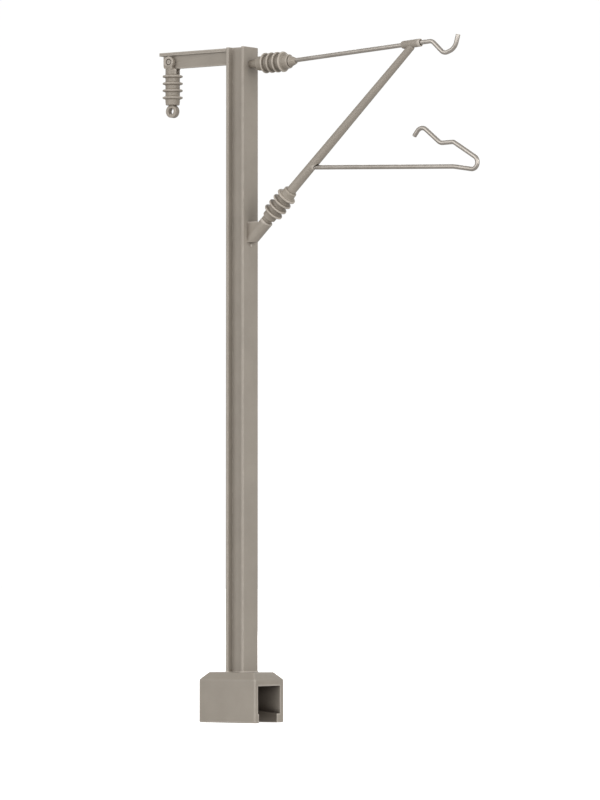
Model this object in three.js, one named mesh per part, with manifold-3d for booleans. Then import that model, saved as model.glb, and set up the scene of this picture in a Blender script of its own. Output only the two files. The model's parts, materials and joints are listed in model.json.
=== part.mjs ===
// H0 model railway overhead-line mast with a single-track cantilever and a feeder arm.
// Millimetres. The origin is the mast's axis on the underside of the foot, +Z is up,
// +X points along the cantilever to the track and +Y across it.
import * as THREE from "three";
import { mergeVertices } from "three/addons/utils/BufferGeometryUtils.js";
import Module from "manifold-3d";

const wasm = await Module();
wasm.setup();

// ---------------------------------------------------------------- driving dimensions

const FIT = 0.02;                 // clearance round a glued tenon or a moulded-in wire
const PAST = 1;                   // how far a cutter runs past the face that it opens

const FOOT_BACK = -4.71;
const FOOT_MOUTH = 4.57;          // the open end, towards the track
const FOOT_WIDTH = 6.43;
const FOOT_HEIGHT = 6.67;
const FOOT_CORNER = 0.15;         // radius of the upright edges
const FOOT_BEVEL_IN = 0.95;
const FOOT_BEVEL_DROP = 0.98;
const SOCKET_NEAR = -2.54;        // the socket's two side walls
const SOCKET_FAR = 2.42;
const SOCKET_ROOF = 4.88;
const SOCKET_BACK_WALL = 0.6;
const RAIL_TOP = 1.54;            // the two ledges that the track clip slides under
const RAIL_MOUTH_TOP = 1.19;      // they slope down to this height at the mouth
const RAIL_SLOPE_START = 0.97;
const FAR_RAIL_DEPTH = 0.7;
const NEAR_RAIL_DEPTH = 0.2;

const MAST_TOP = 90.05;
const MAST_DEPTH = 2.92;          // over the flanges, along X
const MAST_WIDTH = 3.34;          // of a flange, along Y
const MAST_EDGE = 0.12;           // radius of the flanges' outer edges
const FLANGE = 0.43;
const WEB = 1.41;
const MAST_FACE = MAST_DEPTH / 2;

const FOOT_TENON = { length: 1.9, width: 1.2, depth: 1.4 };
const ARM_TENON = { width: 0.4, bottom: 88.2, top: 89.4, depth: 0.9 };
const BRACKET_TENON = { width: 0.8, bottom: 64.4, top: 66.1, depth: 0.9 };

const ARM_END = -13.55;
const ARM_FLANGE_HALF = 0.6;
const ARM_FLANGE_THICK = 0.43;
const ARM_WEB_END = -13.0;
const ARM_WEB_HALF = 0.3;
const ARM_WEB_BOTTOM = 87.85;
const ARM_CORNER = 0.45;
const ARM_TIP_CHAMFER = 0.15;

const HINGE = new THREE.Vector3(-11.66, 0, 88.73);
const PIN_RADIUS = 0.33;
const PIN_HALF_LENGTH = 0.95;    // the pin ends almost flush with the ears
const EAR_RADIUS = 0.75;
const EAR_HOLE = 0.44;
const EAR_INNER = 0.37;           // half the width of the fork's slot
const EAR_OUTER = 0.97;
const EAR_NECK_HALF = 0.52;
const SLOT_FLOOR = 87.1;
const COLLAR_TOP = 87.86;
const COLLAR_BOTTOM = 82.95;
const FEEDER_FIRST_SHED = 83.95;
const EYE_Z = 82.11;
const EYE_RADIUS = 0.87;
const EYE_HOLE = 0.44;
const EYE_HALF = 0.43;
const EYE_NECK_HALF = 0.4;

const SHED_RADIUS = 1.36;
const SHED_BASE = 0.44;           // thickness of a shed where it leaves the core
const SHED_RIM = 0.24;
const SHED_COUNT = 4;
const SHED_PITCH = 0.96;
const CORE_RADIUS = 0.98;
const COLLAR_EDGE = 0.12;         // chamfer at a collar's end

const STAY_Z = 87.75;
const STAY_STUB_RADIUS = 0.54;
const STAY_STUB_START = 0.6;
const STAY_COLLAR_START = 2.8;
const STAY_FIRST_SHED = 3.99;
const STAY_NECK = 7.95;
const STAY_CONE_RADIUS = 0.72;
const STAY_TIP = { start: 8.55, startRadius: 0.56, end: 8.95, endRadius: 0.41 };

const WIRE_RADIUS = 0.3;
const WIRE_SIDES = 10;
const WIRE_HOLE = WIRE_RADIUS + 0.03;

const STRUT_ANGLE = THREE.MathUtils.degToRad(42.8);
const STRUT_FOOT = new THREE.Vector3(4.3, 0, 66.98);   // where distances along the strut start
const STRUT_FIRST_SHED = 1.27;
const STRUT_NECK_RADIUS = 0.7;    // between the bracket's cup and the low collar
const STRUT_LOW_START = 0.22;
const STRUT_LOW_COLLAR = 0.93;    // radius of the collar above the bracket
const STRUT_HIGH_COLLAR = 0.93;   // radius of the collar that holds the strut
const STRUT_COLLAR_END = 5.2;
const STRUT_END = 32.0;           // where the strut's axis meets the stay wire
const STRUT_LOW_RADIUS = 0.66;
const STRUT_HIGH_RADIUS = 0.48;
const SPIGOT_RADIUS = 0.4;
const SPIGOT_LENGTH = 1.0;
const SLEEVE_START = 26.1;
const SLEEVE_END = 29.05;
const SLEEVE_RADIUS = 0.53;

const BRACKET_HALF = 0.72;
const BRACKET_ARM_RADIUS = 0.845;
const BRACKET_ARM_DROP = 0.165;   // the round arm lies this far under the strut's axis
const BRACKET_ARM_LENGTH = 4.6;   // long enough to run into the mast's face
const BRACKET_LOW_FLAT = 0.45;    // the flat sides reach this far under the axis at the mast
const BRACKET_FLAT = 0.12;        // and this far from the arm's middle near the mouth
const BRACKET_MOUTH = -0.3;       // the cup's mouth, along the strut's axis
const BRACKET_FLAT_END = -0.9;    // the flat sides stop here, short of the mouth
const BRACKET_BOTTOM = 63.92;
const BRACKET_TOP = 66.62;
const NUB = { half: 0.16, bottom: 63.32, top: 63.7, proud: 0.18 };

// Corners of the two bent wires in the XZ plane, each with its bend radius.
const STAY_WIRE = [
  { x: 7.4, z: 87.76 },
  { x: 30.81, z: 89.06, bend: 0.9 },
  { x: 32.69, z: 87.3, bend: 0.95 },
  { x: 34.37, z: 87.84, bend: 1.6 },
  { x: 34.92, z: 89.69 },
];
const STEADY_WIRE = [
  { x: 11.3, z: 73.48 },
  { x: 34.2, z: 72.53, bend: 2.0 },
  { x: 37.88, z: 71.93, bend: 0.8 },
  { x: 37.88, z: 73.43, bend: 0.85 },
  { x: 34.17, z: 75.73, bend: 0.6 },
  { x: 32.12, z: 75.68, bend: 1.0 },
  { x: 29.06, z: 78.18, bend: 0.95 },
  { x: 27.96, z: 76.75 },
];

// ---------------------------------------------------------------- materials

function plastic(colour) {
  return new THREE.MeshStandardMaterial({ color: colour, roughness: 0.6, metalness: 0.0 });
}

function bareWire() {
  return new THREE.MeshStandardMaterial({ color: 0xa8a29a, roughness: 0.3, metalness: 1.0 });
}

const GREY = 0x958d80;
const PALE_GREY = 0x9c9487;

// ---------------------------------------------------------------- solids

function toSolid(geometry) {
  const bare = geometry.clone();
  bare.deleteAttribute("normal");
  bare.deleteAttribute("uv");
  const merged = mergeVertices(bare, 1e-6);
  const index = merged.index.array;
  const triangles = [];
  for (let i = 0; i < index.length; i += 3) {
    const [a, b, c] = [index[i], index[i + 1], index[i + 2]];
    if (a !== b && b !== c && c !== a) {
      triangles.push(a, b, c);
    }
  }
  return new wasm.Manifold(new wasm.Mesh({
    numProp: 3,
    vertProperties: Float32Array.from(merged.attributes.position.array),
    triVerts: Uint32Array.from(triangles),
  }));
}

function toMesh(name, body, material) {
  const mesh = body.getMesh();
  const geometry = new THREE.BufferGeometry();
  geometry.setAttribute("position", new THREE.BufferAttribute(mesh.vertProperties, 3));
  geometry.setIndex(new THREE.BufferAttribute(mesh.triVerts, 1));
  geometry.computeVertexNormals();
  const result = new THREE.Mesh(geometry, material);
  result.name = name;
  return result;
}

function box(x0, x1, y0, y1, z0, z1) {
  const geometry = new THREE.BoxGeometry(x1 - x0, y1 - y0, z1 - z0);
  geometry.translate((x0 + x1) / 2, (y0 + y1) / 2, (z0 + z1) / 2);
  return toSolid(geometry);
}

function prism(shape, depth) {
  return new THREE.ExtrudeGeometry(shape, { depth, bevelEnabled: false, curveSegments: 6 });
}

// An outline in the XZ plane, given half its thickness along Y.
function plateXZ(shape, half) {
  const geometry = prism(shape, 2 * half);
  geometry.rotateX(Math.PI / 2);
  geometry.translate(0, half, 0);
  return toSolid(geometry);
}

// An outline in the YZ plane, run along X.
function barX(shape, x0, x1) {
  const geometry = prism(shape, x1 - x0);
  const turn = new THREE.Matrix4().makeBasis(
    new THREE.Vector3(0, 1, 0), new THREE.Vector3(0, 0, 1), new THREE.Vector3(1, 0, 0));
  geometry.applyMatrix4(turn);
  geometry.translate(x0, 0, 0);
  return toSolid(geometry);
}

// An outline in the XY plane, run up Z.
function barZ(shape, z0, z1) {
  const geometry = prism(shape, z1 - z0);
  geometry.translate(0, 0, z0);
  return toSolid(geometry);
}

function polygon(points) {
  return new THREE.Shape(points.map(([a, b]) => new THREE.Vector2(a, b)));
}

// A turned piece. The profile is a list of [distance along the axis, radius].
function turned(profile, sides) {
  const points = profile.map(([along, radius]) => new THREE.Vector2(radius, along));
  return new THREE.LatheGeometry(points, sides);
}

function turnedUp(profile, sides, x, y) {
  const geometry = turned(profile, sides);
  geometry.rotateX(Math.PI / 2);
  geometry.translate(x, y, 0);
  return toSolid(geometry);
}

function turnedAlongX(profile, sides, z) {
  const geometry = turned(profile, sides);
  geometry.rotateZ(-Math.PI / 2);
  geometry.translate(0, 0, z);
  return toSolid(geometry);
}

// A piece turned about the strut's axis, or about a line that lies a little under it.
function turnedAlongStrut(profile, sides, drop = 0) {
  const geometry = turned(profile, sides);
  geometry.rotateZ(-Math.PI / 2);
  geometry.translate(0, 0, -drop);
  geometry.rotateY(-STRUT_ANGLE);
  geometry.translate(STRUT_FOOT.x, STRUT_FOOT.y, STRUT_FOOT.z);
  return toSolid(geometry);
}

// A round bar along Y through a point of the XZ plane.
function crossBar(centre, radius, half, sides) {
  const geometry = new THREE.CylinderGeometry(radius, radius, 2 * half, sides);
  geometry.translate(centre.x, 0, centre.z);
  return toSolid(geometry);
}

// The stations of the arc that rounds one corner of a path: a point and its tangent each.
function cornerArc(before, corner, after, radius, stepDegrees) {
  const arriving = corner.clone().sub(before).normalize();
  const leaving = after.clone().sub(corner).normalize();
  const turn = arriving.angleTo(leaving);
  const reach = radius * Math.tan(turn / 2);
  const start = corner.clone().addScaledVector(arriving, -reach);
  const side = leaving.clone().addScaledVector(arriving, -Math.cos(turn)).normalize();
  const centre = start.clone().addScaledVector(side, radius);
  const steps = Math.max(2, Math.ceil(turn / THREE.MathUtils.degToRad(stepDegrees)));
  const stations = [];
  for (let k = 0; k <= steps; k += 1) {
    const angle = (turn * k) / steps;
    const point = centre.clone()
      .addScaledVector(arriving, radius * Math.sin(angle))
      .addScaledVector(side, -radius * Math.cos(angle));
    const tangent = arriving.clone().multiplyScalar(Math.cos(angle))
      .addScaledVector(side, Math.sin(angle));
    stations.push({ point, tangent });
  }
  return stations;
}

// A polygon of [a, b, radius] corners. A corner without a radius stays sharp.
function roundedPolygon(corners) {
  const at = corners.map(([a, b]) => new THREE.Vector3(a, b, 0));
  const count = at.length;
  const points = corners.flatMap(([, , radius], i) => {
    if (!radius) {
      return [at[i]];
    }
    const arc = cornerArc(at[(i + count - 1) % count], at[i], at[(i + 1) % count], radius, 30);
    return arc.map((station) => station.point);
  });
  return polygon(points.map((point) => [point.x, point.y]));
}

// The four sheds of one insulator, as a stretch of its turned profile.
function shedProfile(first) {
  const profile = [];
  for (let i = 0; i < SHED_COUNT; i += 1) {
    const middle = first + i * SHED_PITCH;
    profile.push([middle - SHED_BASE / 2, CORE_RADIUS]);
    profile.push([middle - SHED_RIM / 2, SHED_RADIUS]);
    profile.push([middle + SHED_RIM / 2, SHED_RADIUS]);
    profile.push([middle + SHED_BASE / 2, CORE_RADIUS]);
  }
  return profile;
}

// ---------------------------------------------------------------- bent wire

// The centreline of a wire bent in the XZ plane: straight runs joined by true arcs.
class BentWire extends THREE.Curve {
  constructor(corners) {
    super();
    this.stations = BentWire.layOut(corners);
  }

  static layOut(corners) {
    const at = corners.map((corner) => new THREE.Vector3(corner.x, 0, corner.z));
    const last = at.length - 1;
    const first = at[1].clone().sub(at[0]).normalize();
    const stations = [{ point: at[0], tangent: first }];
    for (let i = 1; i < last; i += 1) {
      stations.push(...cornerArc(at[i - 1], at[i], at[i + 1], corners[i].bend, 16));
    }
    stations.push({ point: at[last], tangent: at[last].clone().sub(at[last - 1]).normalize() });
    return stations;
  }

  get steps() {
    return this.stations.length - 1;
  }

  getPointAt(u) {
    return this.stations[Math.round(u * this.steps)].point.clone();
  }

  getTangentAt(u) {
    return this.stations[Math.round(u * this.steps)].tangent.clone();
  }
}

function wire(corners, radius) {
  const path = new BentWire(corners);
  const section = new THREE.Shape();
  section.absarc(0, 0, radius, 0, 2 * Math.PI);
  return toSolid(new THREE.ExtrudeGeometry(section, {
    steps: path.steps,
    extrudePath: path,
    curveSegments: WIRE_SIDES,
    bevelEnabled: false,
  }));
}

// ---------------------------------------------------------------- foot and mast

function footShell() {
  const side = FOOT_WIDTH / 2;
  const shoulder = FOOT_HEIGHT - FOOT_BEVEL_DROP;
  const front = polygon([
    [FOOT_BACK, 0], [FOOT_MOUTH, 0], [FOOT_MOUTH, shoulder], [FOOT_MOUTH - FOOT_BEVEL_IN, FOOT_HEIGHT],
    [FOOT_BACK + FOOT_BEVEL_IN, FOOT_HEIGHT], [FOOT_BACK, shoulder],
  ]);
  const end = polygon([
    [-side, 0], [side, 0], [side, shoulder], [side - FOOT_BEVEL_IN, FOOT_HEIGHT],
    [FOOT_BEVEL_IN - side, FOOT_HEIGHT], [-side, shoulder],
  ]);
  const plan = roundedPolygon([
    [FOOT_BACK, -side, FOOT_CORNER], [FOOT_MOUTH, -side, FOOT_CORNER],
    [FOOT_MOUTH, side, FOOT_CORNER], [FOOT_BACK, side, FOOT_CORNER],
  ]);
  return plateXZ(front, side)
    .intersect(barX(end, FOOT_BACK, FOOT_MOUTH))
    .intersect(barZ(plan, 0, FOOT_HEIGHT));
}

function socketSpace() {
  const back = FOOT_BACK + SOCKET_BACK_WALL;
  const past = FOOT_MOUTH + PAST;
  const side = polygon([
    [back, RAIL_TOP], [RAIL_SLOPE_START, RAIL_TOP], [FOOT_MOUTH, RAIL_MOUTH_TOP], [past, RAIL_MOUTH_TOP],
    [past, SOCKET_ROOF], [back, SOCKET_ROOF],
  ]);
  const width = SOCKET_FAR - SOCKET_NEAR;
  const upper = plateXZ(side, width / 2).translate([0, (SOCKET_FAR + SOCKET_NEAR) / 2, 0]);
  const [low, high] = [SOCKET_NEAR + NEAR_RAIL_DEPTH, SOCKET_FAR - FAR_RAIL_DEPTH];
  return upper.add(box(back, past, low, high, -PAST, RAIL_TOP + PAST));
}

function footTenonSpace(clearance) {
  const halfLength = FOOT_TENON.length / 2 + clearance;
  const halfWidth = FOOT_TENON.width / 2 + clearance;
  const bottom = FOOT_HEIGHT - FOOT_TENON.depth - clearance;
  return box(-halfLength, halfLength, -halfWidth, halfWidth, bottom, FOOT_HEIGHT + PAST);
}

function footBlock() {
  return footShell().subtract(socketSpace()).subtract(footTenonSpace(FIT));
}

function hSection() {
  const face = MAST_FACE;
  const inner = MAST_FACE - FLANGE;
  const side = MAST_WIDTH / 2;
  const web = WEB / 2;
  const edge = MAST_EDGE;
  return roundedPolygon([
    [-face, -side, edge], [-inner, -side, edge], [-inner, -web],
    [inner, -web], [inner, -side, edge], [face, -side, edge],
    [face, side, edge], [inner, side, edge], [inner, web],
    [-inner, web], [-inner, side, edge], [-face, side, edge],
  ]);
}

function armTenonSpace(clearance) {
  const half = ARM_TENON.width / 2 + clearance;
  const tip = -MAST_FACE + ARM_TENON.depth + clearance;
  return box(-MAST_FACE - PAST, tip, -half, half, ARM_TENON.bottom - clearance, ARM_TENON.top + clearance);
}

function bracketTenonSpace(clearance) {
  const half = BRACKET_TENON.width / 2 + clearance;
  const tip = MAST_FACE - BRACKET_TENON.depth - clearance;
  const bottom = BRACKET_TENON.bottom - clearance;
  return box(tip, MAST_FACE + PAST, -half, half, bottom, BRACKET_TENON.top + clearance);
}

function stayStubSpace(clearance) {
  const radius = STAY_STUB_RADIUS + clearance;
  const start = STAY_STUB_START - clearance;
  const end = STAY_COLLAR_START;
  return turnedAlongX([[start, 0], [start, radius], [end, radius], [end, 0]], 24, STAY_Z);
}

function mastColumn() {
  const nub = box(MAST_FACE - FLANGE / 2, MAST_FACE + NUB.proud, -NUB.half, NUB.half, NUB.bottom, NUB.top);
  return barZ(hSection(), FOOT_HEIGHT, MAST_TOP)
    .add(footTenonSpace(0).intersect(box(-MAST_FACE, MAST_FACE, -WEB, WEB, 0, FOOT_HEIGHT + FLANGE)))
    .add(nub)
    .subtract(armTenonSpace(FIT))
    .subtract(bracketTenonSpace(FIT))
    .subtract(stayStubSpace(FIT * 2));
}

// ---------------------------------------------------------------- feeder arm and its insulator

function feederArm() {
  const flange = polygon([
    [ARM_END, ARM_TIP_CHAMFER - ARM_FLANGE_HALF], [ARM_END + ARM_TIP_CHAMFER, -ARM_FLANGE_HALF],
    [-MAST_FACE, -ARM_FLANGE_HALF], [-MAST_FACE, ARM_FLANGE_HALF],
    [ARM_END + ARM_TIP_CHAMFER, ARM_FLANGE_HALF], [ARM_END, ARM_FLANGE_HALF - ARM_TIP_CHAMFER],
  ]);
  const under = MAST_TOP - ARM_FLANGE_THICK;
  const web = new THREE.Shape();
  web.moveTo(ARM_WEB_END, under + ARM_FLANGE_THICK / 2);
  web.lineTo(ARM_WEB_END, ARM_WEB_BOTTOM + ARM_CORNER);
  web.absarc(ARM_WEB_END + ARM_CORNER, ARM_WEB_BOTTOM + ARM_CORNER, ARM_CORNER, Math.PI, 1.5 * Math.PI);
  web.lineTo(-MAST_FACE, ARM_WEB_BOTTOM);
  web.lineTo(-MAST_FACE, under + ARM_FLANGE_THICK / 2);
  const tenon = armTenonSpace(0).intersect(box(-MAST_FACE - PAST / 2, 0, -PAST, PAST, 0, MAST_TOP));
  return barZ(flange, under, MAST_TOP)
    .add(plateXZ(web, ARM_WEB_HALF))
    .add(tenon)
    .subtract(crossBar(HINGE, PIN_RADIUS + FIT, PAST, 20));
}

function feederPin() {
  return crossBar(HINGE, PIN_RADIUS, PIN_HALF_LENGTH, 20);
}

function forkEars() {
  const ear = new THREE.Shape();
  ear.moveTo(HINGE.x + EAR_RADIUS, HINGE.z);
  ear.absarc(HINGE.x, HINGE.z, EAR_RADIUS, 0, Math.PI);
  ear.lineTo(HINGE.x - EAR_NECK_HALF, COLLAR_TOP + 0.2);
  ear.lineTo(HINGE.x - EAR_NECK_HALF, COLLAR_TOP - 0.3);
  ear.lineTo(HINGE.x + EAR_NECK_HALF, COLLAR_TOP - 0.3);
  ear.lineTo(HINGE.x + EAR_NECK_HALF, COLLAR_TOP + 0.2);
  return plateXZ(ear, EAR_OUTER);
}

function feederInsulator() {
  const profile = [
    [COLLAR_BOTTOM, 0], [COLLAR_BOTTOM, CORE_RADIUS - COLLAR_EDGE],
    [COLLAR_BOTTOM + COLLAR_EDGE, CORE_RADIUS],
    ...shedProfile(FEEDER_FIRST_SHED),
    [COLLAR_TOP - COLLAR_EDGE, CORE_RADIUS], [COLLAR_TOP, CORE_RADIUS - COLLAR_EDGE], [COLLAR_TOP, 0],
  ];
  const body = turnedUp(profile, 24, HINGE.x, 0);
  const wide = 2 * CORE_RADIUS;
  const slot = box(HINGE.x - wide, HINGE.x + wide, -EAR_INNER, EAR_INNER, SLOT_FLOOR, MAST_TOP);
  const eyeCentre = new THREE.Vector3(HINGE.x, 0, EYE_Z);
  const [left, right] = [HINGE.x - EYE_NECK_HALF, HINGE.x + EYE_NECK_HALF];
  const neckBottom = EYE_Z + (EYE_HOLE + EYE_RADIUS) / 2;
  const neck = box(left, right, -EYE_HALF, EYE_HALF, neckBottom, COLLAR_BOTTOM + COLLAR_EDGE);
  return body
    .add(forkEars())
    .subtract(slot)
    .subtract(crossBar(HINGE, EAR_HOLE, PAST, 24))
    .add(crossBar(eyeCentre, EYE_RADIUS, EYE_HALF, 24))
    .add(neck)
    .subtract(crossBar(eyeCentre, EYE_HOLE, PAST, 20));
}

// ---------------------------------------------------------------- stay: insulator and hooked wire

function stayInsulator() {
  const profile = [
    [STAY_STUB_START, 0], [STAY_STUB_START, STAY_STUB_RADIUS],
    [STAY_COLLAR_START, STAY_STUB_RADIUS], [STAY_COLLAR_START, CORE_RADIUS - COLLAR_EDGE],
    [STAY_COLLAR_START + COLLAR_EDGE, CORE_RADIUS],
    ...shedProfile(STAY_FIRST_SHED),
    [STAY_NECK - COLLAR_EDGE, CORE_RADIUS], [STAY_NECK, CORE_RADIUS - COLLAR_EDGE],
    [STAY_NECK, STAY_CONE_RADIUS], [STAY_TIP.start, STAY_TIP.startRadius],
    [STAY_TIP.end, STAY_TIP.endRadius], [STAY_TIP.end, 0],
  ];
  return turnedAlongX(profile, 24, STAY_Z).subtract(wire(STAY_WIRE, WIRE_HOLE));
}

function stayWire() {
  return wire(STAY_WIRE, WIRE_RADIUS);
}

// ---------------------------------------------------------------- strut, its insulator and bracket

function strutSleeve() {
  const [start, end] = STAY_WIRE;
  const slope = (end.z - start.z) / (end.x - start.x);
  const heightAt = (x) => start.z + slope * (x - start.x);
  return wire([
    { x: SLEEVE_START, z: heightAt(SLEEVE_START) },
    { x: SLEEVE_END, z: heightAt(SLEEVE_END) },
  ], SLEEVE_RADIUS);
}

function strutTube() {
  const profile = [
    [STRUT_COLLAR_END - SPIGOT_LENGTH, 0], [STRUT_COLLAR_END - SPIGOT_LENGTH, SPIGOT_RADIUS],
    [STRUT_COLLAR_END + FIT, SPIGOT_RADIUS], [STRUT_COLLAR_END + FIT, STRUT_LOW_RADIUS],
    [STRUT_END, STRUT_HIGH_RADIUS], [STRUT_END, 0],
  ];
  return turnedAlongStrut(profile, 16)
    .add(strutSleeve())
    .subtract(wire(STAY_WIRE, WIRE_HOLE))
    .subtract(wire(STEADY_WIRE, WIRE_HOLE));
}

function strutInsulator() {
  const neck = BRACKET_MOUTH + FIT;
  const spigotEnd = BRACKET_MOUTH - SPIGOT_LENGTH;
  const profile = [
    [spigotEnd, 0], [spigotEnd, SPIGOT_RADIUS], [neck, SPIGOT_RADIUS], [neck, STRUT_NECK_RADIUS],
    [STRUT_LOW_START, STRUT_NECK_RADIUS], [STRUT_LOW_START, STRUT_LOW_COLLAR],
    [STRUT_FIRST_SHED - SHED_BASE, STRUT_LOW_COLLAR],
    ...shedProfile(STRUT_FIRST_SHED),
    [STRUT_COLLAR_END - COLLAR_EDGE, STRUT_HIGH_COLLAR], [STRUT_COLLAR_END, STRUT_HIGH_COLLAR - COLLAR_EDGE],
    [STRUT_COLLAR_END, 0],
  ];
  const socketFloor = STRUT_COLLAR_END - SPIGOT_LENGTH - FIT;
  const hole = SPIGOT_RADIUS + FIT;
  const socket = [
    [socketFloor, 0], [socketFloor, hole], [STRUT_COLLAR_END + PAST, hole], [STRUT_COLLAR_END + PAST, 0],
  ];
  return turnedAlongStrut(profile, 24).subtract(turnedAlongStrut(socket, 24));
}

// The point of the XZ plane that lies along the strut's axis and off to its upper side.
function besideStrut(along, off) {
  const [c, s] = [Math.cos(STRUT_ANGLE), Math.sin(STRUT_ANGLE)];
  return [STRUT_FOOT.x + along * c - off * s, STRUT_FOOT.z + along * s + off * c];
}

// Where a line alongside the strut reaches a given height.
function reachHeight(off, z) {
  const [x0, z0] = besideStrut(0, off);
  return [x0 + (z - z0) / Math.tan(STRUT_ANGLE), z];
}

function strutBracket() {
  const radius = BRACKET_ARM_RADIUS;
  const drop = BRACKET_ARM_DROP;
  const wedge = polygon([
    [MAST_FACE, BRACKET_BOTTOM], reachHeight(-BRACKET_LOW_FLAT, BRACKET_BOTTOM),
    besideStrut(BRACKET_FLAT_END, -drop - BRACKET_FLAT), besideStrut(BRACKET_FLAT_END, BRACKET_FLAT - drop),
    reachHeight(radius - drop, BRACKET_TOP), [MAST_FACE, BRACKET_TOP],
  ]);
  const low = -BRACKET_ARM_LENGTH;
  const mouth = BRACKET_MOUTH;
  const arm = turnedAlongStrut([[low, 0], [low, radius], [mouth, radius], [mouth, 0]], 24, drop)
    .subtract(box(-MAST_FACE, MAST_FACE, -PAST, PAST, 0, MAST_TOP))
    .subtract(box(0, STRUT_FOOT.x, -PAST, PAST, 0, BRACKET_BOTTOM));
  const hole = SPIGOT_RADIUS + FIT;
  const floor = BRACKET_MOUTH - SPIGOT_LENGTH - FIT;
  const cup = turnedAlongStrut([[floor, 0], [floor, hole], [PAST, hole], [PAST, 0]], 24);
  const tenon = bracketTenonSpace(0).intersect(box(0, MAST_FACE + PAST / 2, -PAST, PAST, 0, MAST_TOP));
  return plateXZ(wedge, BRACKET_HALF).add(arm).add(tenon).subtract(cup);
}

// ---------------------------------------------------------------- assembly

const mast = new THREE.Group();
mast.name = "overhead_line_mast";
mast.add(toMesh("foot_block", footBlock(), plastic(GREY)));
mast.add(toMesh("mast_column", mastColumn(), plastic(GREY)));
mast.add(toMesh("feeder_arm", feederArm(), plastic(GREY)));
mast.add(toMesh("feeder_pin", feederPin(), plastic(PALE_GREY)));
mast.add(toMesh("feeder_insulator", feederInsulator(), plastic(PALE_GREY)));
mast.add(toMesh("stay_insulator", stayInsulator(), plastic(PALE_GREY)));
mast.add(toMesh("stay_wire", stayWire(), bareWire()));
mast.add(toMesh("strut_bracket", strutBracket(), plastic(GREY)));
mast.add(toMesh("strut_insulator", strutInsulator(), plastic(PALE_GREY)));
mast.add(toMesh("strut_tube", strutTube(), plastic(GREY)));
mast.add(toMesh("steady_arm_wire", wire(STEADY_WIRE, WIRE_RADIUS), bareWire()));

export default mast;
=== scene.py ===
"""Looks of the H0 overhead-line mast: fine meshes, materials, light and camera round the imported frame.

Shapes are worked out in millimetres in the frame's own axes and turned into metres when a piece is made.
"""
import json
import math

import bmesh
import bpy
from mathutils import Matrix, Vector


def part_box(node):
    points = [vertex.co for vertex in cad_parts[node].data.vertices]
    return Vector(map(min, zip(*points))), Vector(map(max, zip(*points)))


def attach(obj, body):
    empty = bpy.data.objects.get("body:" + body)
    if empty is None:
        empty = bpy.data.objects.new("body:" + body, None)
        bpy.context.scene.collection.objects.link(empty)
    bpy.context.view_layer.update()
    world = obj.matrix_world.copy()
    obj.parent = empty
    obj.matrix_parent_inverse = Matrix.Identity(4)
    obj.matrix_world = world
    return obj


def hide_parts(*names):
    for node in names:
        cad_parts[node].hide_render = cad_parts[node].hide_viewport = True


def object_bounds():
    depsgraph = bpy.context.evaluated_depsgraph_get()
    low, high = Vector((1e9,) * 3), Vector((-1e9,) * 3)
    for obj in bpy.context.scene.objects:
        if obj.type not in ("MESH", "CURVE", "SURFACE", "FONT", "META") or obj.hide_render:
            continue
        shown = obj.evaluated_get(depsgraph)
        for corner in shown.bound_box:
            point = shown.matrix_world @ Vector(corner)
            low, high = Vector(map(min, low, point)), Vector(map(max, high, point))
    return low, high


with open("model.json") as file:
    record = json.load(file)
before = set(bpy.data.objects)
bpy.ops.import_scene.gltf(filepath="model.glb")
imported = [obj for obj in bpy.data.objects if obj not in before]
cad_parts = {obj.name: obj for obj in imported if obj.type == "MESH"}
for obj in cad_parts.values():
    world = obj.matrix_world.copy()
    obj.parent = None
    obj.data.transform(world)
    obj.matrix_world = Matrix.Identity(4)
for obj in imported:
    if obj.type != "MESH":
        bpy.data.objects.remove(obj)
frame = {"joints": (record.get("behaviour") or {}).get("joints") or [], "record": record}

CAD_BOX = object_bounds()
MM = 0.001
SOFT_SEGMENTS = 3
SOFT_ANGLE = math.radians(38)
SHARP_ANGLE = math.radians(35)


# ---------------------------------------------------------------- sizes, in millimetres

def low_mm(node):
    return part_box(node)[0] / MM


def high_mm(node):
    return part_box(node)[1] / MM


HINGE = Vector(frame["joints"][0]["pos_m"]) / MM

FOOT_LOW = low_mm("foot_block")
FOOT_HIGH = high_mm("foot_block")
FOOT_BEVEL_IN = 0.95
FOOT_BEVEL_DROP = 0.98
FOOT_CORNER = 0.15
FOOT_RIM = 0.08           # the chamfer round the underside
FOOT_SHOULDER_ROUND = 0.25
FOOT_TOP_ROUND = 0.16
FOOT_TOP_FLAT = 0.4
SOCKET_NEAR = -2.54
SOCKET_FAR = 2.42
SOCKET_ROOF = 4.88
SOCKET_ROUND = 0.3
SOCKET_BACK_WALL = 0.6
RAIL_TOP = 1.54
RAIL_MOUTH_TOP = 1.19
RAIL_SLOPE_START = 0.97
FAR_RAIL = 0.7
NEAR_RAIL = 0.2

MAST_TOP = high_mm("mast_column").z
MAST_FACE = -low_mm("mast_column").x
MAST_SIDE = high_mm("mast_column").y
MAST_EDGE = 0.12
MAST_INNER_ROUND = 0.12
MAST_TOP_ROUND = 0.08
FLANGE = 0.43
WEB_HALF = 0.705
ROOT_FILLET = 0.2
NUB_TOP = 63.7
NUB_HALF_WIDTH = 0.16
NUB_HALF_HEIGHT = 0.19
NUB_RISE = 0.15
OVERLAP = 0.05            # how far a moulding runs into the one it stands on

ARM_END = low_mm("feeder_arm").x
ARM_FLANGE_HALF = high_mm("feeder_arm").y
ARM_FLANGE_THICK = 0.43
ARM_WEB_END = -13.0
ARM_WEB_HALF = 0.3
ARM_WEB_BOTTOM = low_mm("feeder_arm").z
ARM_CORNER = 0.45
ARM_TIP_ROUND = 0.15

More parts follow.
